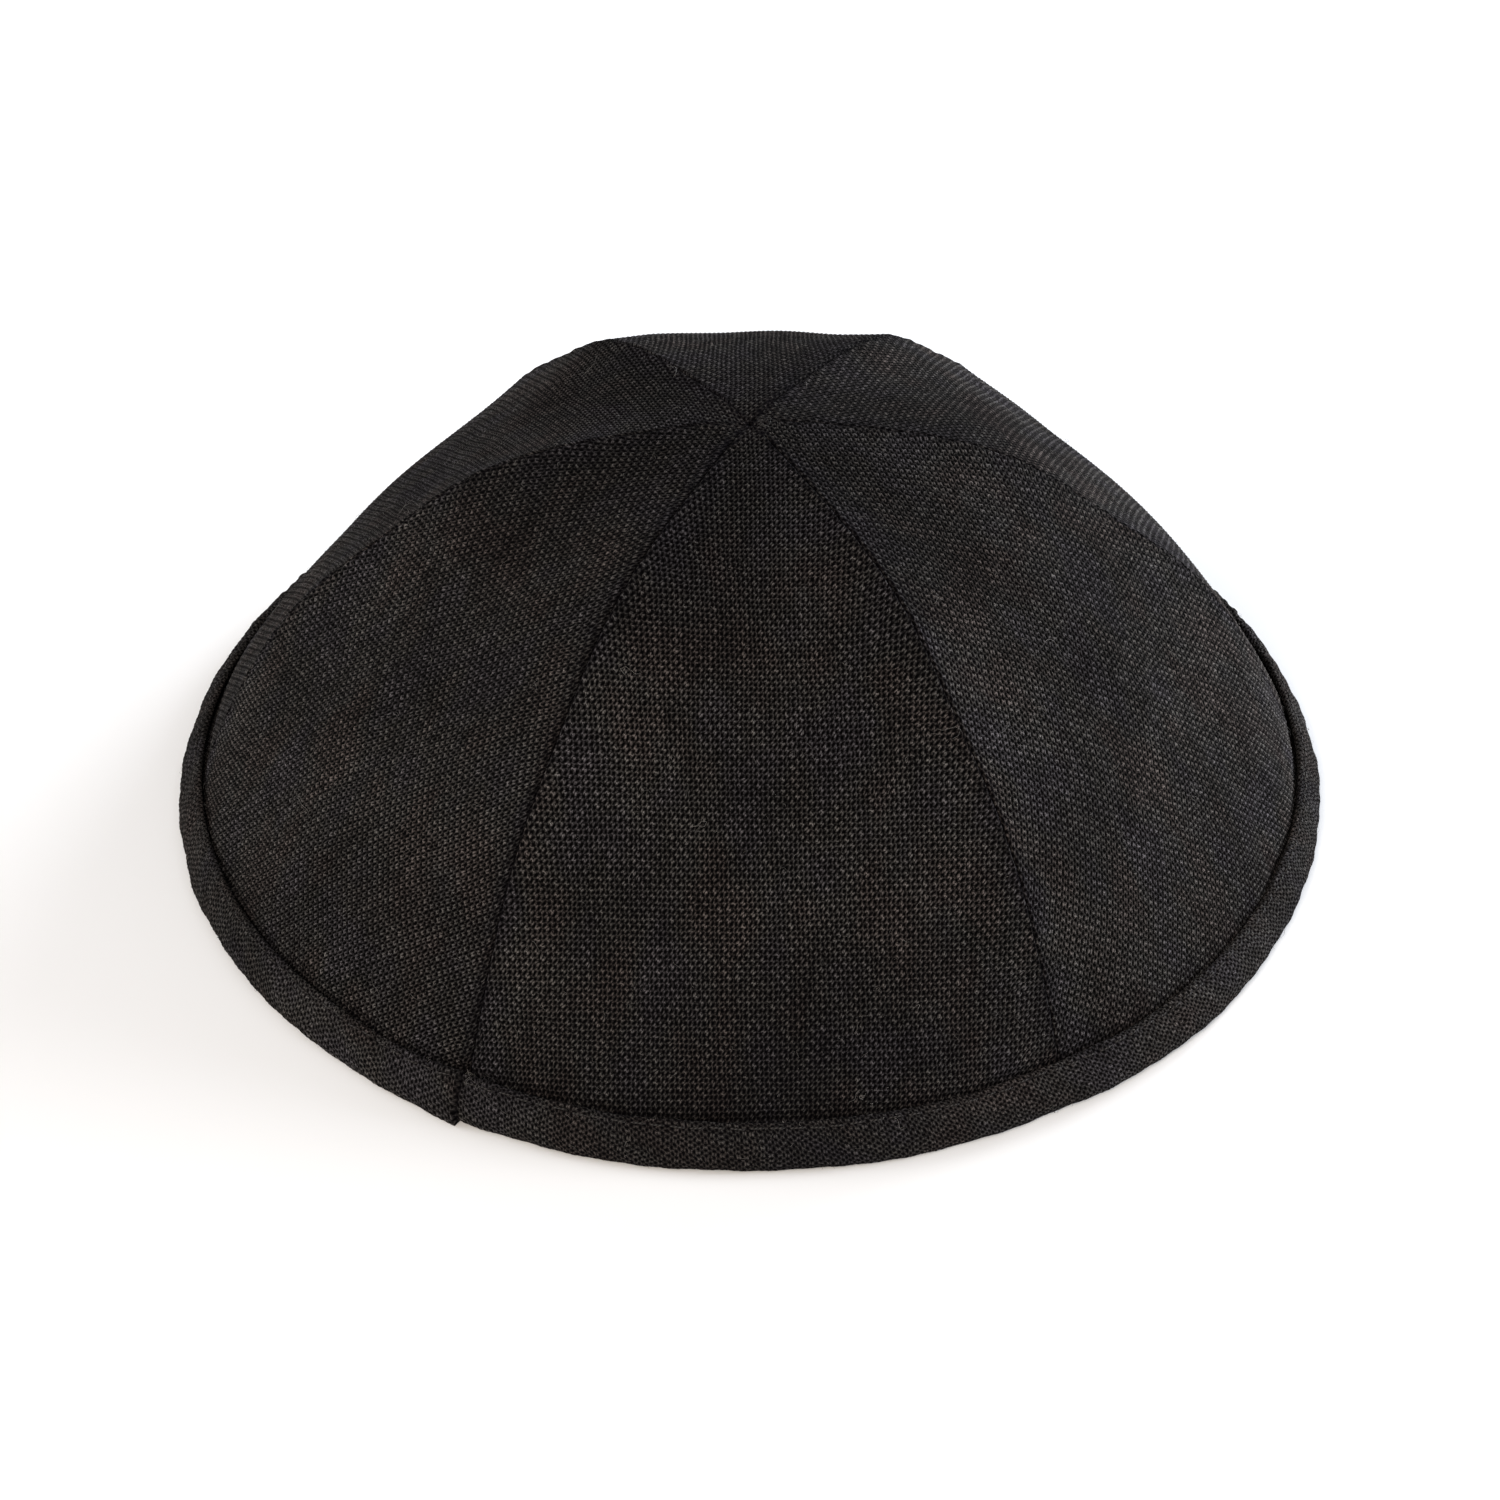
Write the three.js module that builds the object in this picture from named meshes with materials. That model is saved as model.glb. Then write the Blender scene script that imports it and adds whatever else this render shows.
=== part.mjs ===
// A six-panel linen kippah: six curved gores of cloth sewn edge to edge into a dome that meets in a
// point at the crown, with a bias strip folded round the rim and lapped at the foot of one seam.
// Millimetres, +Z up, the rim resting on z = 0, its centre on the Z axis and the front towards -Y.
// Azimuths are in degrees from the front, turning towards +X.
import * as THREE from "three";

// Cloth
const PANEL_WALL = 1.6;
const SEAM_GAP = 0.3;

// Rim
const RIM_RADIUS = 90;
const BINDING_TOP_RADIUS = 86;
const BINDING_TOP_HEIGHT = 6.5;
const PANEL_HEM_RADIUS = 88.4;
const PANEL_HEM_HEIGHT = 2.6;

// Lap joint, where the binding's end is folded over its own start: the fold's azimuth, how far it
// stands out, and the degrees over which it rises from behind and drops in front
const LAP_AZIMUTH = -31;
const LAP_RISE = 0.8;
const LAP_TAPER = 6;
const LAP_STEP = 0.3;

// Fineness of the faceted walls
const PANEL_COLUMNS = 10;
const DOME_ROWS = 20;
const BINDING_STEPS = 72;
const TIP_SHARE = 0.01;

// The dome's meridians from the crown to the top of the binding, as control rows of a smooth curve.
// One meridian runs along a seam, the other down the middle of a panel.
const MERIDIAN_ROWS = [
  { seamRadius: 0, seamHeight: 71.5, middleRadius: 0, middleHeight: 71.5 },
  { seamRadius: 15, seamHeight: 69.2, middleRadius: 14.5, middleHeight: 69.2 },
  { seamRadius: 30, seamHeight: 67, middleRadius: 29, middleHeight: 65 },
  { seamRadius: 44.5, seamHeight: 61.5, middleRadius: 42.5, middleHeight: 58 },
  { seamRadius: 56, seamHeight: 50.5, middleRadius: 54, middleHeight: 48.5 },
  { seamRadius: 69.5, seamHeight: 40, middleRadius: 65, middleHeight: 37.5 },
  { seamRadius: 79, seamHeight: 24, middleRadius: 76, middleHeight: 23 },
  {
    seamRadius: BINDING_TOP_RADIUS,
    seamHeight: BINDING_TOP_HEIGHT,
    middleRadius: BINDING_TOP_RADIUS,
    middleHeight: BINDING_TOP_HEIGHT,
  },
];

// Where each seam runs, and how far it stands out half way up, beyond the common meridian.
const SEAMS = [
  { azimuth: -30.5, proud: 1.3 },
  { azimuth: 30.5, proud: 0.8 },
  { azimuth: 93, proud: -1.2 },
  { azimuth: 147, proud: 0 },
  { azimuth: 210.5, proud: -0.5 },
  { azimuth: 270, proud: -0.3 },
];

// Each panel lies between the seam in its own place above and the next one. Fullness is how far its
// middle swells out half way up, beyond the common meridian.
const PANELS = [
  { name: "panel_front", fullness: 0 },
  { name: "panel_front_right", fullness: 0 },
  { name: "panel_back_right", fullness: 0.8 },
  { name: "panel_back", fullness: 0.6 },
  { name: "panel_back_left", fullness: -1.5 },
  { name: "panel_front_left", fullness: 0 },
];

// The binding's section, from the mouth of its channel down round the inner leg and up the outer one.
// Lifted is the share of the lap's rise that moves a corner out.
const BINDING_SECTION = [
  { at: "mouth, outer side", radius: 86.3, height: 6.6, lifted: 0 },
  { at: "channel floor, outer side", radius: 88.8, height: 2.5, lifted: 0 },
  { at: "channel floor, inner side", radius: 86.9, height: 1.3, lifted: 0 },
  { at: "mouth, inner side", radius: 84.4, height: 5.5, lifted: 0 },
  { at: "inner leg, top edge", radius: 83.5, height: 5, lifted: 0 },
  { at: "inner leg, foot", radius: 86.1, height: 0.8, lifted: 0 },
  { at: "sole, inner edge", radius: 87.2, height: 0, lifted: 0 },
  { at: "sole, outer edge", radius: 89.2, height: 0, lifted: 0.6 },
  { at: "widest point", radius: RIM_RADIUS, height: 1.6, lifted: 1 },
  { at: "outer leg, middle", radius: 89.5, height: 3.5, lifted: 1 },
  { at: "outer leg, shoulder", radius: 88.2, height: 5.5, lifted: 0.8 },
  { at: "outer leg, top edge", radius: 87.1, height: 7.1, lifted: 0.4 },
];

const radians = THREE.MathUtils.degToRad;

// A uniform cubic B-spline over control values. It is flat-topped at the crown, where a radius comes
// back mirrored and a height does not, and it ends exactly on the last value.
function splineValue(values, share, mirror) {
  const last = values.length - 1;
  const controls = [values[1] * mirror, ...values, 2 * values[last] - values[last - 1]];
  const place = share * last;
  const span = Math.min(Math.floor(place), last - 1);
  const t = place - span;
  const weights = [(1 - t) ** 3, 3 * t ** 3 - 6 * t ** 2 + 4, -3 * t ** 3 + 3 * t ** 2 + 3 * t + 1, t ** 3];
  return weights.reduce((sum, weight, i) => sum + weight * controls[span + i], 0) / 6;
}

// One panel's middle azimuth and half its width in radians, and how proud its two seams stand.
function panelBounds(index) {
  const next = (index + 1) % SEAMS.length;
  const turn = next === 0 ? 360 : 0;
  const start = radians(SEAMS[index].azimuth);
  const end = radians(SEAMS[next].azimuth + turn);
  return {
    middle: (start + end) / 2,
    half: (end - start) / 2,
    startProud: SEAMS[index].proud,
    endProud: SEAMS[next].proud,
  };
}

// 0 on the seams and 1 in a panel's middle. A section with only this swing is a straight chord.
function bulge(angleOff, half) {
  return (1 - Math.cos(half) / Math.cos(angleOff)) / (1 - Math.cos(half));
}

// Radius and height of the outer face. Across runs from -1 to 1 between the seams, and along from 0
// at the crown to 1 at the binding's top edge, and on to 2 at the hem that the binding hides.
function outerProfile(index, across, along) {
  const dome = Math.min(along, 1);
  const columns = ["seamRadius", "seamHeight", "middleRadius", "middleHeight"];
  const [seamRadius, seamHeight, middleRadius, middleHeight] = columns.map((column, i) =>
    splineValue(MERIDIAN_ROWS.map((row) => row[column]), dome, i % 2 === 0 ? -1 : 1));
  const { half, startProud, endProud } = panelBounds(index);
  const swing = bulge(across * half, half);
  const radius = THREE.MathUtils.lerp(seamRadius, middleRadius, swing);
  const height = THREE.MathUtils.lerp(seamHeight, middleHeight, swing);
  const proud = THREE.MathUtils.mapLinear(across, -1, 1, startProud, endProud);
  const halfWay = Math.sin(Math.PI * dome) ** 2;
  const out = THREE.MathUtils.lerp(proud, PANELS[index].fullness, swing) * halfWay;
  const grow = 1 + out / Math.hypot(radius, height);
  const hem = Math.max(along - 1, 0);
  return new THREE.Vector2(
    radius * grow + hem * (PANEL_HEM_RADIUS - BINDING_TOP_RADIUS),
    height * grow + hem * (PANEL_HEM_HEIGHT - BINDING_TOP_HEIGHT),
  );
}

// A point of the cloth at a depth below its outer face, measured square to the meridian. The cloth's
// edges keep half a seam gap from the plane through the seam and the axis.
function clothPoint(index, across, along, depth) {
  const step = 0.002;
  const before = outerProfile(index, across, Math.max(along - step, 0));
  const after = outerProfile(index, across, Math.min(along + step, 2));
  const downhill = after.sub(before).normalize();
  const profile = outerProfile(index, across, along);
  const radius = profile.x + depth * downhill.y;
  const height = profile.y - depth * downhill.x;
  const { middle, half } = panelBounds(index);
  const azimuth = middle + across * (half - Math.asin(SEAM_GAP / 2 / radius));
  return [radius * Math.sin(azimuth), -radius * Math.cos(azimuth), height];
}

// How far along the meridian each row of a panel lies: even steps down the dome, then the hem.
function rowShares() {
  const shares = [];
  for (let row = 0; row <= DOME_ROWS; row += 1) {
    shares.push(THREE.MathUtils.lerp(TIP_SHARE, 1, row / DOME_ROWS));
  }
  shares.push(2);
  return shares;
}

// A mesh from points and triangles.
function meshOf(points, triangles) {
  const geometry = new THREE.BufferGeometry();
  geometry.setAttribute("position", new THREE.Float32BufferAttribute(points.flat(), 3));
  geometry.setIndex(triangles.flat());
  geometry.computeVertexNormals();
  return geometry;
}

// One cloth panel as a closed wall: an outer and an inner sheet of the same grid, joined by a strip
// round the border.
function panelGeometry(index) {
  const shares = rowShares();
  const wide = PANEL_COLUMNS + 1;
  const points = [];
  for (const depth of [0, PANEL_WALL]) {
    for (const along of shares) {
      for (let column = 0; column < wide; column += 1) {
        points.push(clothPoint(index, (2 * column) / PANEL_COLUMNS - 1, along, depth));
      }
    }
  }
  const sheet = shares.length * wide;
  const triangles = [];
  const addQuad = (a, b, c, d) => triangles.push([a, b, c], [a, c, d]);
  for (let row = 0; row + 1 < shares.length; row += 1) {
    for (let column = 0; column < PANEL_COLUMNS; column += 1) {
      const corner = row * wide + column;
      addQuad(corner, corner + wide, corner + wide + 1, corner + 1);
      addQuad(sheet + corner, sheet + corner + 1, sheet + corner + wide + 1, sheet + corner + wide);
    }
  }
  for (const [a, b] of borderSteps(shares.length, wide)) {
    addQuad(a, b, b + sheet, a + sheet);
  }
  return meshOf(points, triangles);
}

// Pairs of neighbouring points round the border of a grid, clockwise as seen from outside the dome.
function borderSteps(tall, wide) {
  const border = [];
  for (let column = 0; column < wide - 1; column += 1) border.push(column);
  for (let row = 0; row < tall - 1; row += 1) border.push(row * wide + wide - 1);
  for (let column = wide - 1; column > 0; column -= 1) border.push((tall - 1) * wide + column);
  for (let row = tall - 1; row > 0; row -= 1) border.push(row * wide);
  return border.map((point, i) => [point, border[(i + 1) % border.length]]);
}

// The lift of the lap at an azimuth: full at the fold, and fading out behind it.
function lapLift(azimuth) {
  const behind = LAP_AZIMUTH + 360 - azimuth;
  return LAP_RISE * THREE.MathUtils.smoothstep(LAP_TAPER - behind, 0, LAP_TAPER);
}

// The binding: its section carried round the rim, from just past the fold of the lap and back to it.
function bindingGeometry() {
  const points = [];
  for (let step = 0; step <= BINDING_STEPS; step += 1) {
    const turn = (360 - LAP_STEP) * (step / BINDING_STEPS);
    const azimuth = LAP_AZIMUTH + LAP_STEP + turn;
    const angle = radians(azimuth);
    for (const { radius, height, lifted } of BINDING_SECTION) {
      const reach = radius + lifted * lapLift(azimuth);
      points.push([reach * Math.sin(angle), -reach * Math.cos(angle), height]);
    }
  }
  const corners = BINDING_SECTION.length;
  const rings = BINDING_STEPS + 1;
  const triangles = [];
  for (let ring = 0; ring < rings; ring += 1) {
    const next = (ring + 1) % rings;
    for (let corner = 0; corner < corners; corner += 1) {
      const after = (corner + 1) % corners;
      const [a, b] = [ring * corners + corner, ring * corners + after];
      const [c, d] = [next * corners + after, next * corners + corner];
      triangles.push([a, c, b], [a, d, c]);
    }
  }
  return meshOf(points, triangles);
}

function linen(color) {
  return new THREE.MeshStandardMaterial({ color, roughness: 0.95, metalness: 0 });
}

function namedMesh(name, geometry, color) {
  const mesh = new THREE.Mesh(geometry, linen(color));
  mesh.name = name;
  return mesh;
}

const kippah = new THREE.Group();
PANELS.forEach(({ name }, index) => {
  kippah.add(namedMesh(name, panelGeometry(index), 0x262322));
});
kippah.add(namedMesh("rim_binding", bindingGeometry(), 0x232020));

export default kippah;
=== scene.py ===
"""A six-panel kippah of black linen, on a pale floor in soft light.

Each panel is woven on a grid of its own yarns: the grid's lines are the warp and weft yarns and the
lines between them, so the relief of the weave, the slubs and the seams are all real shape. Lengths
are in millimetres until a mesh is made.
"""

import bpy
import numpy as np
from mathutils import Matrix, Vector


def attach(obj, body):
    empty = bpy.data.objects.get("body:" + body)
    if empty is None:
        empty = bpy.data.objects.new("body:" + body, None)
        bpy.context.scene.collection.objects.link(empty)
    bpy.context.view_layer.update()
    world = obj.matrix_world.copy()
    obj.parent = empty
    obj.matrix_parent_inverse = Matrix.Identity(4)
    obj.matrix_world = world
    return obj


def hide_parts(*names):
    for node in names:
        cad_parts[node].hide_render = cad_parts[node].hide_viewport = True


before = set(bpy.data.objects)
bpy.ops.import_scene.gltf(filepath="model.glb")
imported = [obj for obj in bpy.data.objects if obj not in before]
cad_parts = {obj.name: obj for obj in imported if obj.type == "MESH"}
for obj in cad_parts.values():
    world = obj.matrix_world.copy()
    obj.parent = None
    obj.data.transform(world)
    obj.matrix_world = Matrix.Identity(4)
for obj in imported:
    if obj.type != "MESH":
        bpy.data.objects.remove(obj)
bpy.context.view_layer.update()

MM = 0.001

# The dome's meridians from the crown to the top of the binding, as control rows of a smooth curve.
# Columns: seam radius, seam height, middle radius, middle height.
MERIDIAN_ROWS = np.array([
    (0, 71.5, 0, 71.5),
    (15, 69.2, 14.5, 69.2),
    (30, 67, 29, 65),
    (44.5, 61.5, 42.5, 58),
    (56, 50.5, 54, 48.5),
    (69.5, 40, 65, 37.5),
    (79, 24, 76, 23),
    (86, 6.5, 86, 6.5),
])
BINDING_TOP = (86, 6.5)
PANEL_HEM = (88.4, 2.6)

# Where each seam runs, how far it stands out half way up, how wide and deep its groove is on either
# side, and how dark the painted shade along it is. Azimuths are degrees from the front, turning towards +X.
SEAM_ROWS = {
    "front_left": dict(azimuth=-30.5, proud=1.3, before=1.2, after=0.45, depth=0.75, dark=0.8),
    "front_right": dict(azimuth=30.5, proud=0.8, before=0.5, after=0.45, depth=0.6, dark=0.75),
    "right": dict(azimuth=93, proud=-1.2, before=0.45, after=0.45, depth=0.5, dark=0.5),
    "back_right": dict(azimuth=147, proud=0, before=0.45, after=0.8, depth=0.65, dark=0.8),
    "back_left": dict(azimuth=210.5, proud=-0.5, before=0.45, after=0.45, depth=0.5, dark=0.55),
    "left": dict(azimuth=270, proud=-0.3, before=0.45, after=0.5, depth=0.5, dark=0.5),
}
SEAMS = list(SEAM_ROWS.values())

# Each panel lies between the seam in its own place above and the next one. Fullness is how far its
# middle swells out half way up, and stand is how strongly its yarns stand out: the back is pressed flatter.
PANELS = {
    "panel_front": dict(fullness=0, stand=1, seed=11),
    "panel_front_right": dict(fullness=0, stand=0.9, seed=12),
    "panel_back_right": dict(fullness=0.8, stand=0.5, seed=13),
    "panel_back": dict(fullness=0.6, stand=0.5, seed=14),
    "panel_back_left": dict(fullness=-1.5, stand=0.5, seed=15),
    "panel_front_left": dict(fullness=0, stand=1.15, seed=16),
}

# The binding's section, as control rows of radius and height: over its top edge, down the outer leg,
# under the sole and up the inner leg. The channel inside it has straight sides.
SECTION_ROWS = np.array([
    (86.3, 6.6), (86.55, 7.0), (87.1, 7.2), (87.75, 6.6), (88.4, 5.6), (89.1, 4.6), (89.75, 3.5),
    (90.15, 2.4), (90.25, 1.4), (89.9, 0.4), (89.2, 0), (88.5, 0), (87.8, 0), (87.0, 0), (86.4, 0.5),
    (85.5, 1.8), (84.6, 3.3), (83.7, 4.7), (83.6, 5.4), (84.4, 5.5),
])
CHANNEL_ROWS = ((86.9, 1.3), (88.8, 2.5))
RIM_RADIUS = 90
OUTER_LENGTH = 9.6
BINDING_STEP = 0.276
BINDING_TURNS = 2048
BINDING_RELIEF = 0.16
# The seed of the binding and of the stitches, which lie on the same shape
BINDING_SEED = 31
# How finely the section is followed, and its points from the sole to the end
SECTION_SAMPLES = 2000
INNER_POINTS = 11
# Over how many millimetres the relief fades in at the top edge and out at the sole
FACE_FADE = (0.6, 1.2)
# Yarns per millimetre along the rim and down the strip, which is cut across the weave and a little drawn
BIAS_WARP = (1.0, -1.2)
BIAS_WEFT = (0.75, 0.97)
BIAS_SHIFT = 1000
# Waves of the strip's wandering yarns, of its skew and of its soft puffs, and how far each goes
BIAS_WARP_WAVES = (3.1, 4.3, 6.7, 9.1)
BIAS_WEFT_WAVES = (2.9, 4.9, 6.1, 9.7)
BIAS_WANDER = 0.45
BIAS_SKEW_WAVES = (37, 61, 113)
BIAS_SKEW = 0.8
BINDING_PUFF_WAVES = (4.7, 7.1, 11, 17, 31)
BINDING_PUFF = 0.3
CROSSING_LEVEL = 1.15
# How far on along the section the channel's two corners and its end are counted
CHANNEL_LENGTHS = (4, 6.2, 10)
# Painted shade on the binding: how much darker, and how wide, along the stitches, the top edge and the lap's
# fold
STITCH_SHADE = (0.25, 0.4)
TOP_SHADE = (0.1, 0.4)
FOLD_SHADE = (0.75, 0.22)
# The rim's small swells and dents: azimuth, width in degrees, and how far it stands out. They fade with
# height.
RIM_SWAYS = ((-37, 6, 0.5), (-16, 8, 0.35), (28, 7, -0.6), (66, 14, -0.45))
SWAY_HEIGHT = 14

# The lap joint: the azimuth of its fold, how far it stands out, over how many degrees it rises from
# behind, the dip in front of it, and how many degrees its foot is slanted over how many millimetres
LAP_AZIMUTH = -30.7
LAP_RISE = 0.8
LAP_TAPER = 6
LAP_DIP = 0.2
LAP_DIP_WIDTH = 0.9
LAP_SLANT = 0.5
LAP_SLANT_REACH = 8
# Over how many millimetres the lap fades out at the sole and at the top edge, and what is left there
LAP_FADE = 1.5
LAP_TOP = 0.35

# The row of stitches: their pitch, length and line below the binding's top edge, how unevenly they lie,
# how deep their ends sink, and the dimples under them
STITCH_PITCH = 3.0
STITCH_LENGTH = 2.3
STITCH_LINE = 1.75
STITCH_SHIFT = 0.10
STITCH_TILT = 0.06
STITCH_SINK = 0.30
DIMPLE_LEAST = 0.10
DIMPLE_MORE = 0.18
DIMPLE_WIDTH = 0.6
THREAD_RADIUS = 0.12
THREAD_STAND = 0.9
THREAD_SIDES = 6
STITCH_POINTS = 7

# The seams: the stitch that their painted shade beats with, the waves of their pucker as length and
# size, and the bells of their painted shade as size and width
SEAM_STITCH = 2.6
SEAM_BEAT = 0.3
PUCKER_WAVES = ((7.3, 1), (4.1, 0.7))
PUCKER = 0.06
PUCKER_REACH = 2.5
SEAM_SHADES = ((0.35, 0.4), (0.15, 2))
# A seam's edge rolls down in these steps of a quarter turn. Within this length of the crown it narrows.
ROLL_TURNS = (22.5, 45, 67.5, 90)
# How much painted shade darkens the rolled edge as it turns down into the seam, and how late it comes
ROLL_DARK = 0.9
ROLL_DARK_POWER = 5
ROLL_MOST = 0.6
NARROW_LENGTH = 6
NARROWEST = 0.12
SHALLOWEST = 0.3

# The groove above the binding: its depth and its painted shade, and the bells of each as share and width
GROOVE_DEPTH = 0.75
GROOVE_PARTS = ((0.7, 0.8), (0.3, 1.8))
GROOVE_DARK = 0.42
GROOVE_SHADES = ((0.75, 0.9), (0.15, 1.8))
# Where the groove is shallower and its painted shade lighter: azimuth, width in degrees, and how much
GROOVE_EASE_ROWS = ((3, 18, 0.25), (50, 20, 0.35), (78, 38, 0.6), (-85, 30, 0.55))

# Loose fibres on each panel and on the binding: count, longest length, curl, lift and radius
FIBRE_SEED = 41
FIBRE_POINTS = 8
FIBRE_SIDES = 3
FIBRE_ROWS = (
    (150, 2.2, 0.6, 0.5, 0.016),
    (12, 7.0, 1.6, 0.6, 0.030),
    (45, 0.5, 0.3, 0.25, 0.050),
)
BINDING_FIBRE_ROWS = (
    (220, 2.0, 0.8, 0.5, 0.018),
    (14, 5.0, 1.6, 0.6, 0.028),
    (120, 0.5, 0.3, 0.25, 0.050),
)
# Frayed tufts on a panel: count, place across, length down from the crown, and spread
TUFT_FIBRE = (3.5, 1.8, 0.9, 0.030)
TUFTS = {
    "panel_front": ((9, -0.95, 108, 1.2),),
    "panel_front_right": ((16, 0.2, 1.9, 0.6),),
}
# The tuft at the lap: count, millimetres along the rim from the fold and down the strip, and spread
LAP_TUFT = (14, 2.2, 0.9, 1.4)

# Cloth
CROWN_START = 0.15
HEM_SPARE = 1.5
INNER_COLUMNS = 15
PANEL_WALL = 1.6
SEAM_OVERLAP = 0.02
AXIS_GAP = 0.02
# A panel is measured in this many rows and columns, from this share of its way down from the crown
MEASURED_ROWS = 500
MEASURED_COLUMNS = 41
FIRST_SHARE = 0.002
# The step in share over which a slope is taken, and the most of a panel's half width that a gap may take
SLOPE_STEP = 0.002
MOST_CLEARANCE = 0.98
WARP_PITCH = 0.70
WEFT_PITCH = 0.855
WARP_CROWN = 0.10
WEFT_CROWN = 0.02
PORE_DEPTH = 0.29
UV_SHIFT = 100
BESIDE_SHARE = 0.42
SLUB_STAND = 0.1
WARP_SLUBS = 70
WEFT_SLUBS = 60
SLUB_LENGTH = (1.5, 5)
SLUB_SIZE = (0.4, 1)
# Waves of the yarns' wander and of the cloth's drift in its own plane, and how far they go
WARP_WANDER_WAVES = (7, 13, 31)
WARP_WANDER = 0.05
WEFT_WANDER_WAVES = (6, 11, 27)
WEFT_WANDER = 0.06
ACROSS_DRIFT_WAVES = (23, 37, 61)
DOWN_DRIFT_WAVES = (19, 41, 67)
DRIFT = 0.35
# The cloth's soft swell, the dip at the crown, and the lengths over which swell and weave fade out
SWELL_WAVES = (17, 29, 43, 71)
SWELL = 0.5
SWELL_EDGE = 8
WEAVE_EDGE = 0.5
HEM_FADE = 1.5
CROWN_DIP = 0.7
CROWN_DIP_REACH = 3
# The plain inner face's painted shade
INNER_SHADE = 0.9

# The seams' painted shade is deeper close to the crown, and the cloth carries painted shade near the
# crown and low at the front, where less light falls: how much, and how far that reaches
CROWN_DARK = 1.5
CROWN_DARK_REACH = 9
CROWN_PAINTED_SHADE = 0.3
CROWN_REACH = 46
FRONT_PAINTED_SHADE = 0.38
FRONT_WIDTH = 26
FRONT_HEIGHT = 28

# Finish
YARN_COLOUR = (0.0670, 0.0600, 0.0590, 1)
BINDING_COLOUR = (0.0570, 0.0510, 0.0502, 1)
# The painted shade colour of the weave, in its pores and down its yarns' sides
PORE_SHADE_COLOUR = (0.001, 0.0009, 0.0009, 1)
YARN_RELIEF = 0.12
# The colour that painted shade darkens the cloth towards, along the seams, in the groove, on the binding,
# near the crown and low at the front
PAINTED_SHADE_COLOUR = (0.0015, 0.0012, 0.002, 1)
# The thread's painted shade between its plies, and the colour of the plies
THREAD_DARK = (0.006, 0.0055, 0.005, 1)
THREAD_LIGHT = (0.055, 0.050, 0.047, 1)
FIBRE_DARK = (0.018, 0.017, 0.016, 1)
FIBRE_LIGHT = (0.25, 0.23, 0.21, 1)
YARN_SWING = 0.40
YARN_SLANT = 0.32
YARN_WANDER = 0.55
# The painted shade in each pore: its width across the diagonal and its length along it
PORE_WIDTH = 0.27
PORE_LENGTH = 0.95
WARP_STAND = 1.0
WEFT_STAND = 0.88
YARN_ROUND = 0.47
# Half widths of the yarns in yarns: the least, and how much more with their tone
WARP_HALF = (0.49, 0.24)
WEFT_HALF = (0.42, 0.24)
# Noise steps from yarn to yarn and along a yarn, of the fibres, and of the broad and tinted patches
TONE_STEP = 7.31
TONE_RUN = 0.11
FIBRES_ACROSS = 8.0
FIBRES_ALONG = 3.0
BROAD_SCALE = (0.03, 0.035)
TINT_SCALE = (0.09, 0.07)
# What each noise multiplies the light by, at its low and high ends
TONE_LIGHT = (0.78, 1.22)
FIBRE_LIGHT_RANGE = (0.0, 2.0)
BROAD_LIGHT = (0.82, 1.18)
# The least light at a crossing, and how much more with chance
CHANCE_LIGHT = (0.75, 0.5)
# How sharply the painted highlight gathers on the yarns' crowns, with painted shade down their sides
SHADE_POWER = 2.4
TINTS = ((0.35, (0.96, 0.98, 1.04, 1)), (0.5, (0.98, 1.02, 0.97, 1)), (0.65, (1.05, 0.99, 0.93, 1)))
# The height at which each noise is cut through, so that no two are alike
LAYERS = dict(warp_wander=2.1, weft_wander=6.4, warp_tone=3.3, weft_tone=8.7, warp_fibre=0.0,
              weft_fibre=5.0, broad=4.4, tint=1.7)

# Light: low softboxes round the cap, in degrees, metres and watts, and the sky
SKY_STRENGTH = 0.45
SKY_COLOUR = (0.97, 0.975, 1.03, 1)
SOFTBOX_DISTANCE = 1.15
SOFTBOXES = {
    "softbox_back_right": dict(azimuth=135, elevation=15, size=0.55, power=18, colour=(0.89, 0.94, 1)),
    "softbox_right": dict(azimuth=85, elevation=15, size=0.55, power=10.5, colour=(0.89, 0.94, 1)),
    "softbox_left": dict(azimuth=-100, elevation=25, size=0.7, power=5.4, colour=(0.93, 0.97, 1)),
    "softbox_front": dict(azimuth=-20, elevation=38, size=0.55, power=8, colour=(1, 0.89, 0.76)),
}
FLOOR_REACH = 8
FLOOR_COLOUR = (0.93, 0.93, 0.93, 1)

# The camera at the photograph's angle, in degrees and millimetres: it aims a little above the rim's
# middle, where a millimetre takes up so many of the picture's pixels
CAMERA_ELEVATION = 38.5
CAMERA_AZIMUTH = -1.8
CAMERA_DISTANCE = 844
CAMERA_AIM = 7.3
PIXELS_PER_MM = 6.33
PICTURE_PIXELS = 1500
SENSOR_WIDTH = 36


def bell(distance, width):
    """1 in the middle and falling off on both sides: e to the power of minus the square of distance over
    width."""
    return np.exp(-(distance / width) ** 2)


def bells(distance, rows):
    """A sum of bells on one place, each with its size and its width."""
    return sum(size * bell(distance, width) for size, width in rows)


def spline(values, share, before):
    """A uniform cubic B-spline through control values, evaluated at an array of shares from 0 to 1. It
    starts from a value before the first and ends exactly on the last."""
    last = len(values) - 1
    controls = np.concatenate([[before], values, [2 * values[last] - values[last - 1]]])
    place = np.clip(share, 0, 1) * last
    span = np.minimum(place.astype(int), last - 1)
    t = place - span
    weights = [(1 - t) ** 3, 3 * t ** 3 - 6 * t ** 2 + 4, -3 * t ** 3 + 3 * t ** 2 + 3 * t + 1, t ** 3]
    return sum(weight * controls[span + i] for i, weight in enumerate(weights)) / 6


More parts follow.
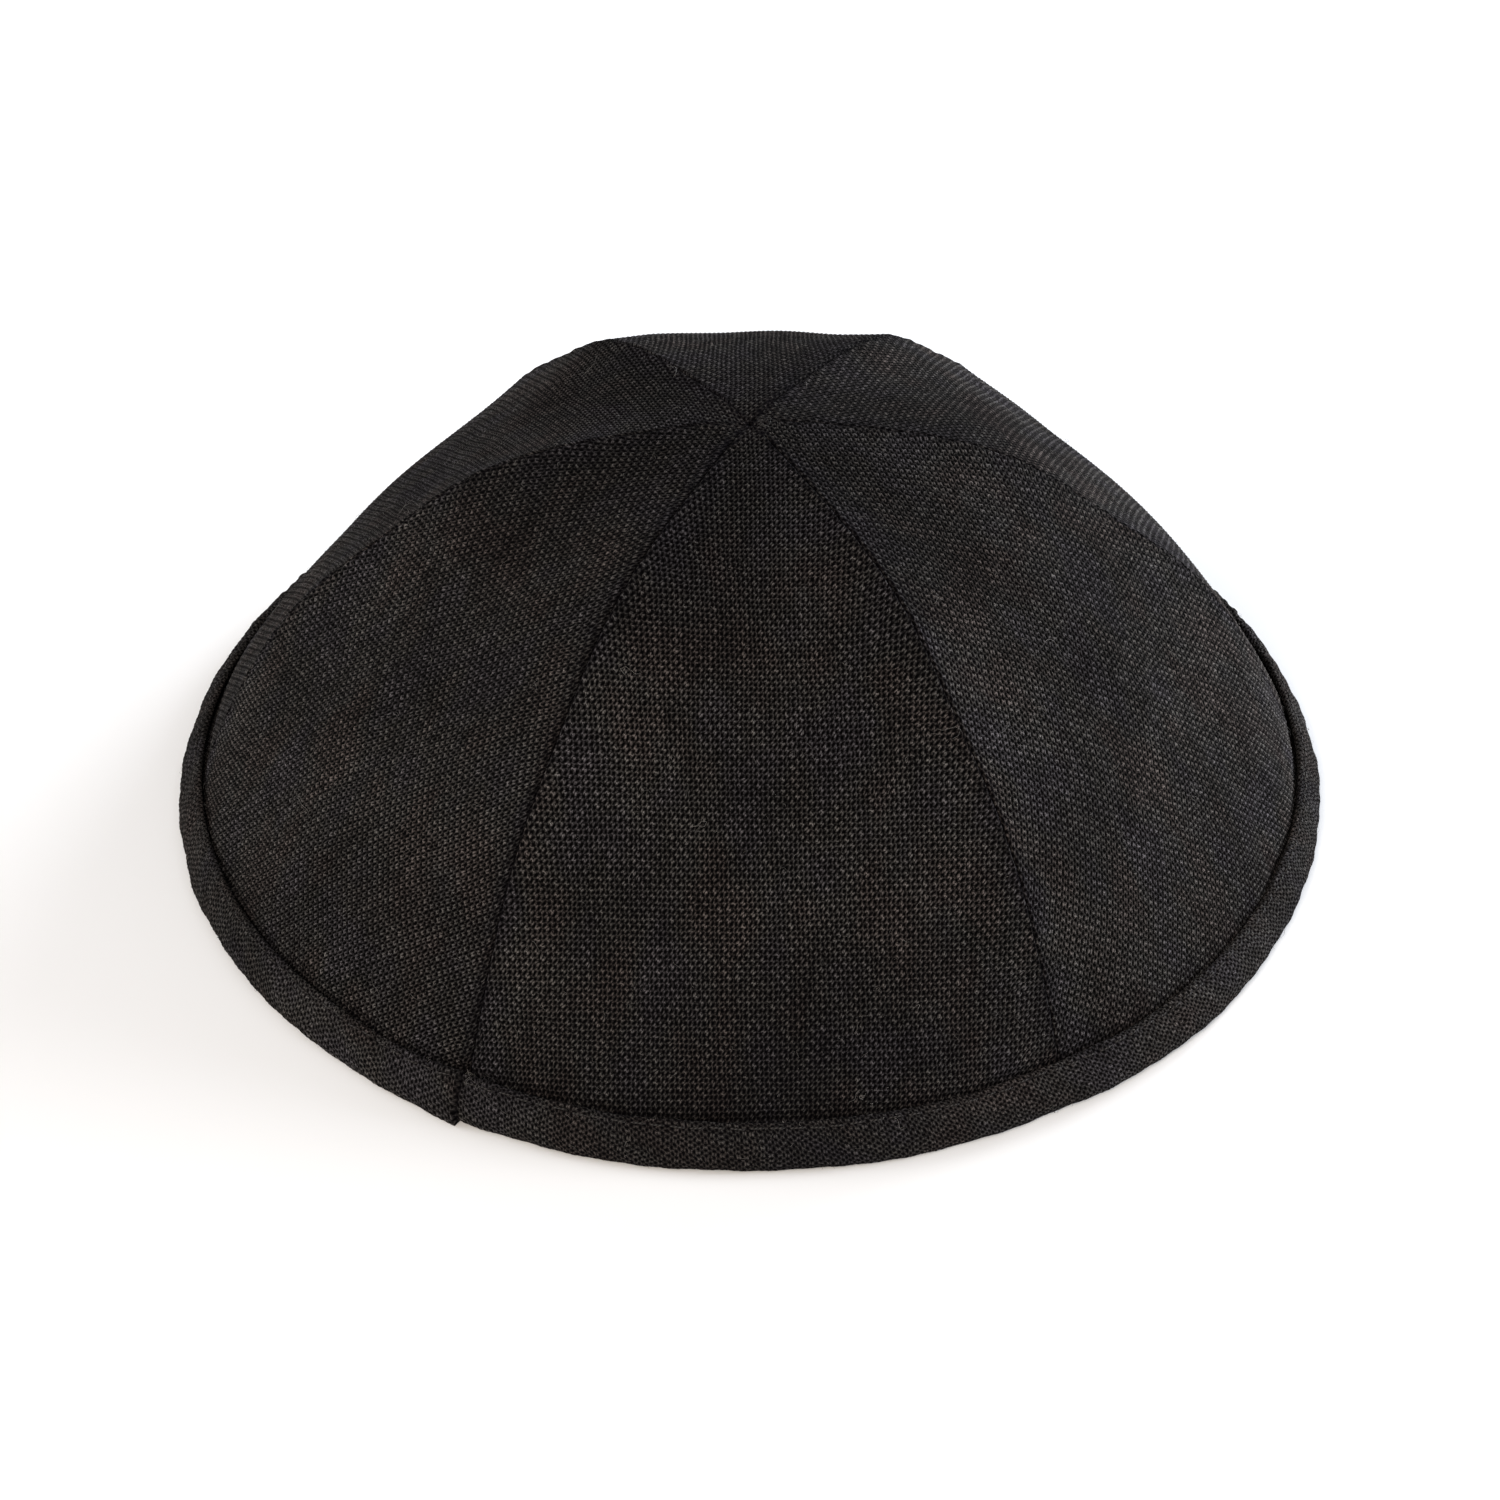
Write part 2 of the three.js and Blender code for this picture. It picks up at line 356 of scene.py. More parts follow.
class Dome:
    """One panel's part of the dome: the same surface as the rigid model's, as whole arrays."""

    def __init__(self, index, fullness):
        start, end = SEAMS[index], SEAMS[(index + 1) % len(SEAMS)]
        turn = 360 if index + 1 == len(SEAMS) else 0
        first, last = np.radians(start["azimuth"]), np.radians(end["azimuth"] + turn)
        self.middle, self.half = (first + last) / 2, (last - first) / 2
        self.start, self.end, self.fullness = start, end, fullness
        self._measure()

    def profile(self, across, along):
        """Radius and height of the outer face: across from -1 to 1 between the seams, along from 0 at the
        crown to 1 at the binding's top edge and 2 at the hidden hem."""
        dome = np.minimum(along, 1)
        seam_r, seam_z, middle_r, middle_z = (
            spline(MERIDIAN_ROWS[:, i], dome, MERIDIAN_ROWS[1, i] * (-1 if i % 2 == 0 else 1))
            for i in range(4))
        swing = (1 - np.cos(self.half) / np.cos(across * self.half)) / (1 - np.cos(self.half))
        radius = seam_r + (middle_r - seam_r) * swing
        height = seam_z + (middle_z - seam_z) * swing
        proud = self.start["proud"] + (self.end["proud"] - self.start["proud"]) * (across + 1) / 2
        out = (proud * (1 - swing) + self.fullness * swing) * np.sin(np.pi * dome) ** 2
        grow = 1 + out / np.hypot(radius, height)
        hem = np.maximum(along - 1, 0)
        return (radius * grow + hem * (PANEL_HEM[0] - BINDING_TOP[0]),
                height * grow + hem * (PANEL_HEM[1] - BINDING_TOP[1]))

    def point(self, across, along, depth, clearance):
        """A point below the outer face by depth, measured square to the meridian, with the ends of across
        at a clearance from the planes through the seams and the axis. A negative one laps over them."""
        r0, z0 = self.profile(across, np.maximum(along - SLOPE_STEP, 0))
        r1, z1 = self.profile(across, along + SLOPE_STEP)
        length = np.hypot(r1 - r0, z1 - z0)
        downhill_r, downhill_z = (r1 - r0) / length, (z1 - z0) / length
        radius, height = self.profile(across, along)
        radius = np.maximum(radius + depth * downhill_z, AXIS_GAP)
        height = height - depth * downhill_r
        limit = np.sin(self.half) * MOST_CLEARANCE
        margin = np.arcsin(np.clip(clearance / radius, -SEAM_OVERLAP, limit))
        azimuth = self.middle + across * (self.half - margin)
        return np.stack([radius * np.sin(azimuth), -radius * np.cos(azimuth), height], -1)

    def _measure(self):
        """Arc lengths in the flat cloth: down the middle from the crown, and from the middle out to each
        seam at that place."""
        self.shares = np.linspace(FIRST_SHARE, 2, MEASURED_ROWS)
        middle = self.point(np.zeros(MEASURED_ROWS), self.shares, 0.0, 0.0)
        self.lengths = np.concatenate([[0], np.cumsum(np.linalg.norm(np.diff(middle, axis=0), axis=1))])
        across = np.linspace(-1, 1, MEASURED_COLUMNS)
        ring = self.point(across[None, :], self.shares[:, None], 0.0, 0.0)
        steps = np.linalg.norm(np.diff(ring, axis=1), axis=2)
        half = MEASURED_COLUMNS // 2
        self.left_width = steps[:, :half].sum(1)
        self.right_width = steps[:, half:].sum(1)
        self.bottom = self.lengths[-1]
        self.length_at_binding = np.interp(1, self.shares, self.lengths)
        self.left_length = self._seam_length(ring[:, 0], self.left_width)
        self.right_length = self._seam_length(ring[:, -1], self.right_width)

    def _seam_length(self, seam, width):
        """Where each straight weft of the flat gore meets a seam, as a length down the middle: as far down
        the seam as the flat gore's slanting edge is long."""
        down = np.concatenate([[0], np.cumsum(np.linalg.norm(np.diff(seam, axis=0), axis=1))])
        slanting = np.concatenate([[0], np.cumsum(np.hypot(np.diff(self.lengths), np.diff(width)))])
        return np.interp(slanting, down, self.lengths) + np.maximum(slanting - down[-1], 0)

    def fallen(self, length, across):
        """How far down the dome a weft lies: it dips towards the seams with the square of across."""
        seam = np.where(across < 0, np.interp(length, self.lengths, self.left_length),
                        np.interp(length, self.lengths, self.right_length))
        return length + (seam - np.minimum(length, self.bottom)) * across ** 2

    def along(self, fallen):
        """The share along the dome, from 0 at the crown, at lengths down the middle."""
        return np.interp(fallen, self.lengths, self.shares)

    def widths(self, length):
        """Half widths to the left and right seams at a length down the middle."""
        return (np.interp(length, self.lengths, self.left_width),
                np.interp(length, self.lengths, self.right_width))

    def flat_size(self):
        """The flat gore's greatest width and length in metres, and its area in square metres."""
        width = self.left_width + self.right_width
        area = np.sum((width[1:] + width[:-1]) / 2 * np.diff(self.lengths))
        return (width.max() * MM, self.bottom * MM), area * MM ** 2


def wandering(random, lines, places, amplitude, waves):
    """A smooth random wander for each of many lines: a sum of sines along them, with random phases."""
    total = np.zeros((lines, len(places)))
    for wave in waves:
        phase = random.uniform(0, 2 * np.pi, (lines, 1))
        size = random.normal(0, amplitude / np.sqrt(len(waves)), (lines, 1))
        total += size * np.sin(2 * np.pi * places[None, :] / wave + phase)
    return total


def slub_swell(random, lines, places, count):
    """The swelling of each line where a slub, a thick stretch of yarn, lies on it."""
    swell = np.zeros((lines, len(places)))
    for _ in range(count):
        line = random.integers(0, lines)
        centre = random.uniform(places[0], places[-1])
        length = random.uniform(*SLUB_LENGTH)
        swell[line] += random.uniform(*SLUB_SIZE) * bell(places - centre, length)
    return np.minimum(swell, 1)


def soft_waves(random, x, y, waves, amplitude):
    """A smooth random undulation of the cloth: a sum of plane waves in random directions."""
    total = np.zeros(np.broadcast(x, y).shape)
    for wave in waves:
        heading = random.uniform(0, np.pi)
        phase = random.uniform(0, 2 * np.pi)
        total += np.sin(2 * np.pi * (x * np.cos(heading) + y * np.sin(heading)) / wave + phase)
    return total * amplitude / len(waves)


def grid_mesh(name, points, uv, shade, capped):
    """A mesh from a grid of points with a UV and a painted shade for each. Points that coincide are merged,
    so a cell becomes a quad, a triangle or nothing, and a grid whose last row or column repeats its first is
    closed there. Caps close the rings at its first and last rows."""
    rows, columns = points.shape[:2]
    flat = points.reshape(-1, 3)
    _, first, merged = np.unique(np.round(flat, 5), axis=0, return_index=True, return_inverse=True)
    merged = merged.ravel()
    corner = np.arange(rows * columns).reshape(rows, columns)
    cells = np.stack([corner[:-1, :-1], corner[1:, :-1], corner[1:, 1:], corner[:-1, 1:]], -1).reshape(-1, 4)
    joined = merged[cells] == merged[np.roll(cells, -1, 1)]
    folded = (merged[cells[:, 0]] == merged[cells[:, 2]]) | (merged[cells[:, 1]] == merged[cells[:, 3]])
    count = joined.sum(1)
    quads = cells[(count == 0) & ~folded]
    one_joined = cells[count == 1]
    dropped = joined[count == 1].argmax(1)
    triangles = one_joined[np.arange(4)[None, :] != dropped[:, None]].reshape(-1, 3)
    caps = [without_repeats(corner[0], merged), without_repeats(corner[-1], merged)[::-1]] if capped else []
    corners = np.concatenate([quads.ravel(), triangles.ravel(), *caps])
    totals = np.concatenate([np.full(len(quads), 4), np.full(len(triangles), 3), [len(cap) for cap in caps]])
    mesh = face_mesh(name, flat[first], merged[corners], totals, uv.reshape(-1, 2)[corners])
    # The painted shade goes on the mesh as a point attribute, which the material darkens the colour by
    layer = mesh.attributes.new("painted_shade", "FLOAT", "POINT")
    layer.data.foreach_set("value", shade.ravel()[first].astype(np.float32))
    return mesh


def swayed(points):
    """Points moved in or out from the axis by the rim's small swells and dents, less and less with height."""
    radius = np.hypot(points[:, 0], points[:, 1])
    azimuth = np.degrees(np.arctan2(points[:, 0], -points[:, 1]))
    out = sum(far * bell(azimuth - place, width) for place, width, far in RIM_SWAYS)
    grow = 1 + out * bell(points[:, 2], SWAY_HEIGHT) / np.maximum(radius, 1)
    return points * np.stack([grow, grow, np.ones_like(grow)], -1)


def without_repeats(ring, merged):
    """A ring of corners without those that are merged with the one before."""
    return ring[merged[ring] != np.roll(merged[ring], 1)]


def face_mesh(name, vertices, corners, totals, corner_uv):
    """A smooth mesh from vertices in millimetres, the corners of all faces in one row, the number of
    corners of each face, and each corner's place counted in yarns."""
    totals = totals.astype(np.int32)
    mesh = bpy.data.meshes.new(name)
    mesh.vertices.add(len(vertices))
    mesh.vertices.foreach_set("co", (swayed(vertices) * MM).astype(np.float32).ravel())
    mesh.loops.add(len(corners))
    mesh.loops.foreach_set("vertex_index", corners.astype(np.int32))
    mesh.polygons.add(len(totals))
    mesh.polygons.foreach_set("loop_start", (np.cumsum(totals) - totals).astype(np.int32))
    mesh.polygons.foreach_set("loop_total", totals)
    mesh.update(calc_edges=True)
    mesh.shade_smooth()
    layer = mesh.uv_layers.new(name="yarns")
    layer.data.foreach_set("uv", corner_uv.astype(np.float32).ravel())
    mesh.validate()
    return mesh


def tubes_mesh(name, paths, radii, away, sides):
    """Many thin closed tubes in one mesh. Paths hold the points of each tube's centre line, radii its
    radius at each, and away a direction across each, from which its corners are turned in even steps."""
    count, steps = radii.shape
    run = np.gradient(paths, axis=1)
    run /= np.linalg.norm(run, axis=2, keepdims=True)
    across = np.cross(run, away)
    across /= np.linalg.norm(across, axis=2, keepdims=True)
    up = np.cross(run, across)
    turn = (2 * np.pi * np.arange(sides) / sides)[None, None, :, None]
    ring = across[:, :, None] * np.cos(turn) + up[:, :, None] * np.sin(turn)
    points = paths[:, :, None] + ring * radii[:, :, None, None]
    corner = np.arange(count * steps * sides).reshape(count, steps, sides)
    after = np.roll(corner, -1, 2)
    cells = np.stack([corner[:, :-1], after[:, :-1], after[:, 1:], corner[:, 1:]], -1).reshape(-1, 4)
    starts, ends = corner[:, 0, ::-1].reshape(-1, sides), corner[:, -1].reshape(-1, sides)
    corners = np.concatenate([cells.ravel(), starts.ravel(), ends.ravel()])
    totals = np.concatenate([np.full(len(cells), 4), np.full(2 * count, sides)])
    around = np.arange(sides)[None, None, :] / sides
    along = np.arange(steps)[None, :, None] / 2.0
    place = np.broadcast_arrays(around, along, np.zeros((count, 1, 1)))
    uv = np.stack(place[:2], -1).reshape(-1, 2)
    return face_mesh(name, points.reshape(-1, 3), corners, totals, uv[corners])


def weave_relief(column, row, warp_slub, weft_slub):
    """Height of the cloth's face at half-yarn places: odd places are yarn middles, even ones the lines
    between. The yarn on top stands up, a line between is lower and a pore is lowest."""
    on_warp = column % 2 == 1
    on_weft = row % 2 == 1
    warp_over = ((column // 2) + (row // 2)) % 2 == 0
    crossing = np.where(warp_over, WARP_CROWN + SLUB_STAND * warp_slub, WEFT_CROWN + SLUB_STAND * weft_slub)
    beside = -BESIDE_SHARE * PORE_DEPTH
    return np.where(on_warp & on_weft, crossing,
                    np.where(on_warp | on_weft, beside, -PORE_DEPTH))


def held(values, index, axis):
    """Values of a grid with everything past an edge held at the edge, by an index into rows or columns."""
    return [np.take_along_axis(value, index, axis) for value in values]


def woven_grid(random, dome):
    """Half-yarn lines on the flat cloth: counts of columns and rows, places across and down, the same
    places before they were held at the panel's edges, and the slubs."""
    rows = np.arange(int((dome.bottom - CROWN_START + HEM_SPARE) / (WEFT_PITCH / 2)) + 1)
    half_count = int(max(dome.left_width.max(), dome.right_width.max()) / (WARP_PITCH / 2)) + 3
    columns = np.arange(-half_count, half_count + 1)
    lengths = CROWN_START + rows * (WEFT_PITCH / 2)
    places = columns * (WARP_PITCH / 2)
    warp_slub = slub_swell(random, len(columns), lengths, WARP_SLUBS).T * (columns % 2 == 1)[None, :]
    weft_slub = slub_swell(random, len(rows), places, WEFT_SLUBS) * (rows % 2 == 1)[:, None]
    flat_grid = np.broadcast_arrays(places[None, :], lengths[:, None])
    s = places[None, :] + wandering(random, len(columns), lengths, WARP_WANDER, WARP_WANDER_WAVES).T
    t = lengths[:, None] + wandering(random, len(rows), places, WEFT_WANDER, WEFT_WANDER_WAVES)
    s += soft_waves(random, *flat_grid, ACROSS_DRIFT_WAVES, DRIFT)
    t += soft_waves(random, *flat_grid, DOWN_DRIFT_WAVES, DRIFT)
    return columns[None, :], rows[:, None], s, t, warp_slub, weft_slub


def panel_places(random, dome):
    """Places of the face's points: across and down the cloth, held at the seams and at the hem, with the
    edges of the face beside each, their counts in yarns, and the relief of the weave."""
    columns, rows, woven_s, woven_t, warp_slub, weft_slub = woven_grid(random, dome)
    t = np.maximum(woven_t, CROWN_START)
    t[0] = CROWN_START
    left, right = dome.widths(t)
    fit = np.clip(t / NARROW_LENGTH, NARROWEST, 1)
    low = np.minimum(dome.start["after"] * fit, left * ROLL_MOST) - left
    high = right - np.minimum(dome.end["before"] * fit, right * ROLL_MOST)
    s = np.clip(woven_s, low, high)
    across = np.where(s < 0, s / -low, s / high)
    fallen = dome.fallen(t, across)
    excess = np.maximum(fallen - dome.bottom, 0)
    u = columns / 2 + (s - woven_s) / WARP_PITCH + UV_SHIFT
    v = rows / 2 + (t - woven_t - excess) / WEFT_PITCH
    relief = weave_relief(columns, rows, warp_slub, weft_slub)
    values = [s, t, low, high, across, fallen - excess, u, v, relief]

    inside = (woven_s > low) & (woven_s < high)
    middle = columns.size // 2
    some = inside.any(1)
    first = np.where(some, inside.argmax(1), middle)[:, None]
    last = np.where(some, columns.size - 1 - inside[:, ::-1].argmax(1), middle)[:, None]
    values = held(values, np.clip(np.arange(columns.size)[None, :], first - 1, last + 1), 1)
    done = (values[5] >= dome.bottom).argmax(0)[None, :]
    return held(values, np.minimum(np.arange(rows.size)[:, None], done), 0)


def panel_mesh(name, index, fullness, stand, seed):
    """One panel, closed: its woven face on the yarn grid, edges rolled down into the seams, and a plain
    inner face, carried as one ring of points down the panel."""
    random = np.random.default_rng(seed)
    dome = Dome(index, fullness)
    s, t, low, high, across, fallen, u, v, relief = panel_places(random, dome)
    edge = np.minimum(s - low, high - s)
    above_hem = dome.length_at_binding - fallen
    dip = np.maximum(above_hem, 0)
    below = np.clip(1 + above_hem / HEM_FADE, 0, 1)
    azimuth = np.degrees(dome.middle + across * dome.half)
    relief = relief * stand * np.clip(edge / WEAVE_EDGE, 0, 1) * below
    pucker = seam_pucker(random, t, edge, s < 0)
    swell = soft_waves(random, s, t, SWELL_WAVES, SWELL) * np.clip(edge / SWELL_EDGE, 0, 1) * below
    crown = -CROWN_DIP * bell(t, CROWN_DIP_REACH)
    groove = -GROOVE_DEPTH * bells(dip, GROOVE_PARTS) * groove_share(azimuth)
    left, right = dome.widths(t)
    space = np.where(s < 0, left + low, right - high) - SEAM_OVERLAP
    face = dome.point(across, dome.along(fallen), -(relief + pucker + swell + crown + groove), space)
    shade = panel_shade(dome, s, t, edge, dip, azimuth)

    sunk = pucker + crown + groove
    parts = [(face, np.stack([u, v], -1), shade)]
    for side, seam, roll in ((1, dome.end, right - high), (-1, dome.start, left + low)):
        column = [-1] if side > 0 else [0]
        depth = seam["depth"] * np.clip(t[:, column] / NARROW_LENGTH, SHALLOWEST, 1)
        edge_values = (value[:, column] for value in (roll, sunk, fallen, u, v, shade))
        parts.append(rolled_edge(dome, side, depth, *edge_values))
        if side > 0:
            parts.append(inner_face(dome, t[:, [t.shape[1] // 2]]))
    parts.append(tuple(part[:, :1] for part in parts[0]))
    return grid_mesh(name, *(np.concatenate(values, 1) for values in zip(*parts)), True)


def panel_shade(dome, s, t, edge, dip, azimuth):
    """The face's painted shade, 1 where it is plain: darker along the seams, in beats of their stitch, in
    the groove, near the crown and low at the front."""
    strength = np.where(s < 0, dome.start["dark"], dome.end["dark"])
    strength = strength * (1 - SEAM_BEAT + SEAM_BEAT * np.cos(2 * np.pi * t / SEAM_STITCH))
    strength = strength * (1 + CROWN_DARK * strength * bell(t, CROWN_DARK_REACH))
    shade = 1 - strength * bells(edge, SEAM_SHADES)
    shade *= 1 - GROOVE_DARK * groove_share(azimuth) * bells(dip, GROOVE_SHADES)
    shade *= 1 - CROWN_PAINTED_SHADE * bell(t, CROWN_REACH)
    shade *= 1 - front_painted_shade(azimuth) * bell(dip, FRONT_HEIGHT)
    return shade


def rolled_edge(dome, side, depth, roll, sunk, fallen, u, v, shade):
    """The face's edge rolled down a quarter turn into a seam, to a depth and over a width: its points,
    their places in yarns and their painted shades, darker as the edge turns down."""
    turns = np.radians(ROLL_TURNS)[None, :]
    fall = depth * (1 - np.cos(turns)) - sunk
    along = dome.along(fallen) + np.zeros_like(fall)
    points = dome.point(np.full_like(fall, side), along, fall, roll * (1 - np.sin(turns)) - SEAM_OVERLAP)
    roll_u = u + side * roll * turns / WARP_PITCH
    uv = np.stack([roll_u, v + np.zeros_like(roll_u)], -1)
    # Painted shade, deeper as the edge turns down into the seam
    darker = shade * (1 - ROLL_DARK * np.sin(turns) ** ROLL_DARK_POWER)
    order = slice(None, None, side)
    return points[:, order], uv[:, order], darker[:, order]


def inner_face(dome, t):
    """The plain inner face, from one seam to the other: points, places in yarns and painted shades."""
    inner = np.linspace(1, -1, INNER_COLUMNS)[None, :] + np.zeros((len(t), 1))
    fallen = np.minimum(dome.fallen(t, inner), dome.bottom)
    points = dome.point(inner, dome.along(fallen), PANEL_WALL, -SEAM_OVERLAP)
    left, right = dome.widths(t)
    s = np.where(inner < 0, inner * left, inner * right)
    uv = np.stack([s / WARP_PITCH + UV_SHIFT, fallen / WEFT_PITCH], -1)
    return points, uv, np.full_like(inner, INNER_SHADE)


def turned(azimuth):
    """Azimuths in degrees, brought between -180 and 180."""
    return (azimuth + 180) % 360 - 180


def groove_share(azimuth):
    """How much of its full depth and painted shade the groove has at azimuths in degrees."""
    turn = turned(azimuth)
    return 1 - sum(ease * bell(turn - middle, width) for middle, width, ease in GROOVE_EASE_ROWS)


def front_painted_shade(azimuth):
    """How much painted shade darkens the cloth low at the front: a bell over azimuths in degrees."""
    return FRONT_PAINTED_SHADE * bell(turned(azimuth), FRONT_WIDTH)


def seam_pucker(random, t, edge, left_side):
    """Small waves along each seam, where the thread draws the cloth up, fading out away from it."""
    total = np.zeros_like(t)
    for side in (True, False):
        phases = random.uniform(0, 2 * np.pi, 2)
        waves = sum(size * np.sin(2 * np.pi * t / wave + phase)
                    for (wave, size), phase in zip(PUCKER_WAVES, phases))
        total += np.where(left_side == side, waves, 0) * PUCKER * np.exp(-edge / PUCKER_REACH)
    return total


def crossing_height(u, v):
    """Height of the cloth at a place counted in yarns, from 0 in the gaps to about 1.4 on a crossing: the
    same two waves and round sections as in the woven finish."""
    heights = []
    for across, along, lead in ((u, v, -0.5), (v, u, 0.5)):
        line = np.floor(across)
        wave = np.cos(np.pi * (along + line + lead))
        section = np.sqrt(np.maximum(1 - ((across - line - 0.5) / YARN_ROUND) ** 2, 0))
        heights.append(section + YARN_SWING * wave)
    return np.maximum(*heights)


def binding_section():
    """The binding's section: points at even steps of length down the outer leg, wider ones under the sole
    and up the inner leg, each with its unit outward normal and its length from the start."""
    share = np.linspace(0, 1, SECTION_SAMPLES)
    before = 2 * SECTION_ROWS[0] - SECTION_ROWS[1]
    radius, height = (spline(SECTION_ROWS[:, i], share, before[i]) for i in (0, 1))
    length = np.concatenate([[0], np.cumsum(np.hypot(np.diff(radius), np.diff(height)))])
    outer = np.arange(0, OUTER_LENGTH, BINDING_STEP)
    inner = np.linspace(OUTER_LENGTH, length[-1], INNER_POINTS)
    place = np.concatenate([outer, inner])
    normal_r, normal_z = -np.gradient(height, length), np.gradient(radius, length)
    return [np.interp(place, length, values) for values in (radius, height, normal_r, normal_z)] + [place]


def lap_lift(azimuth):
    """How far the lap stands out: full at its fold, fading out behind it, with a slight dip in front."""
    behind = np.clip((LAP_TAPER - (LAP_AZIMUTH + 360 - azimuth)) / LAP_TAPER, 0, 1)
    ahead = (azimuth - LAP_AZIMUTH) / LAP_DIP_WIDTH
    return LAP_RISE * behind ** 2 * (3 - 2 * behind) - LAP_DIP * bell(ahead, 1)


def binding_shape(random):
    """The binding's azimuths in degrees, its section, and how far each place of its outer leg stands
    out: soft waves and a row of dimples under the stitches."""
    turns = BINDING_TURNS
    azimuth = LAP_AZIMUTH + 360 * np.arange(turns + 1) / turns
    radius, height, normal_r, normal_z, place = binding_section()
    x = (2 * np.pi * RIM_RADIUS * np.arange(turns + 1) / turns)[:, None]
    y = place[None, :]
    outer = np.clip(y / FACE_FADE[0], 0, 1) * np.clip((OUTER_LENGTH - y) / FACE_FADE[1], 0, 1)
    between = 0.5 + 0.5 * np.cos(2 * np.pi * x / STITCH_PITCH)
    dimple = -(DIMPLE_LEAST + DIMPLE_MORE * between ** 2) * bell(y - STITCH_LINE, DIMPLE_WIDTH)
    puff = soft_waves(random, x, y * 2, BINDING_PUFF_WAVES, BINDING_PUFF) * outer
    return azimuth, (radius, height, normal_r, normal_z), x, y, outer, dimple + puff


def binding_mesh(name):
    """The folded bias strip: its section carried once round the rim, with the relief of a weave that runs
    across it at a slant. The channel that takes the panels' hems has two straight sides. The rows go
    into the grid from last to first, so that the faces point outwards."""
    random = np.random.default_rng(BINDING_SEED)
    azimuth, (radius, height, normal_r, normal_z), x, y, outer, stand = binding_shape(random)
    skew = x + soft_waves(random, x, y, BIAS_SKEW_WAVES, BIAS_SKEW)
    u = across_bias(BIAS_WARP, skew, y) + soft_waves(random, x, y, BIAS_WARP_WAVES, BIAS_WANDER) + BIAS_SHIFT
    v = across_bias(BIAS_WEFT, skew, y) + soft_waves(random, x, y, BIAS_WEFT_WAVES, BIAS_WANDER) + BIAS_SHIFT
    relief = (crossing_height(u, v) - CROSSING_LEVEL) * BINDING_RELIEF * outer
    fade = np.clip((OUTER_LENGTH + 1 - y) / LAP_FADE, 0, 1) * np.clip(y / LAP_FADE, LAP_TOP, 1)
    out = relief + stand + lap_lift(azimuth)[:, None] * fade
    r = radius + out * normal_r
    z = np.maximum(height + out * normal_z, 0)
    channel = np.array(CHANNEL_ROWS)[None, :, :] + np.zeros((len(azimuth), 1, 1))
    r = np.concatenate([r, channel[:, :, 0], r[:, :1]], 1)
    z = np.concatenate([z, channel[:, :, 1], z[:, :1]], 1)
    end = y.max() + np.array([CHANNEL_LENGTHS])
    u = np.concatenate([u, across_bias(BIAS_WARP, x, end) + BIAS_SHIFT], 1)
    v = np.concatenate([v, across_bias(BIAS_WEFT, x, end) + BIAS_SHIFT], 1)
    from_fold = np.minimum(x, 2 * np.pi * RIM_RADIUS - x)
    slant = LAP_SLANT * (1 - z / BINDING_TOP[1]) * bell(from_fold, LAP_SLANT_REACH)
    angle = np.radians(azimuth[:, None] + slant)
    r[-1], z[-1] = r[0], z[0]
    points = np.stack([r * np.sin(angle), -r * np.cos(angle), z], -1)
    points[-1] = points[0]
    # Painted shade: low at the front, along the stitches, at the top edge and along the lap's fold
    shade = 1 - front_painted_shade(azimuth[:, None]) + np.zeros_like(r)
    shade[:, :y.size] *= 1 - bells(y - STITCH_LINE, [STITCH_SHADE])
    shade[:, :y.size] *= 1 - bells(y, [TOP_SHADE])
    shade *= 1 - bells(from_fold, [FOLD_SHADE])
    return grid_mesh(name, points[::-1], np.stack([u, v], -1)[::-1], shade[::-1], False)


def across_bias(yarns, x, y):
    """Places counted in yarns of a set that runs at a slant, from millimetres along the rim and down."""
    return yarns[0] * x + yarns[1] * y


def stitches_mesh(name):
    """The row of stitches under the binding's top edge: a short thread for each, its ends sunk in the
    cloth."""
    random = np.random.default_rng(BINDING_SEED)
    azimuth, (radius, height, normal_r, normal_z), _, y, _, stand = binding_shape(random)
    count = int(2 * np.pi * RIM_RADIUS / STITCH_PITCH)
    steps = np.linspace(-1, 1, STITCH_POINTS)
    along = (np.arange(count)[:, None] + 0.5) * STITCH_PITCH + steps[None, :] * STITCH_LENGTH / 2
    shift, tilt = random.normal(0, STITCH_SHIFT, (count, 1)), random.normal(0, STITCH_TILT, (count, 1))
    line = STITCH_LINE + shift + tilt * steps[None, :]
    row = np.interp(line, y[0], np.arange(y.shape[1]))
    places = np.arange(len(radius))
    section = [np.interp(row, places, values) for values in (radius, height, normal_r, normal_z)]
    column = along / (2 * np.pi * RIM_RADIUS) * (len(azimuth) - 1)
    near = stand[np.clip(np.round(column).astype(int), 0, len(azimuth) - 1), np.round(row).astype(int)]
    turn = np.interp(column, np.arange(len(azimuth)), azimuth)
    lift = near + lap_lift(turn) + THREAD_RADIUS * THREAD_STAND - STITCH_SINK * np.abs(steps[None, :]) ** 3
    angle = np.radians(turn)
    r = section[0] + lift * section[2]
    z = section[1] + lift * section[3]
    paths = np.stack([r * np.sin(angle), -r * np.cos(angle), z], -1)
    away = np.stack([section[2] * np.sin(angle), -section[2] * np.cos(angle), section[3]], -1)
    return tubes_mesh(name, paths, np.full(along.shape, THREAD_RADIUS), away, THREAD_SIDES)


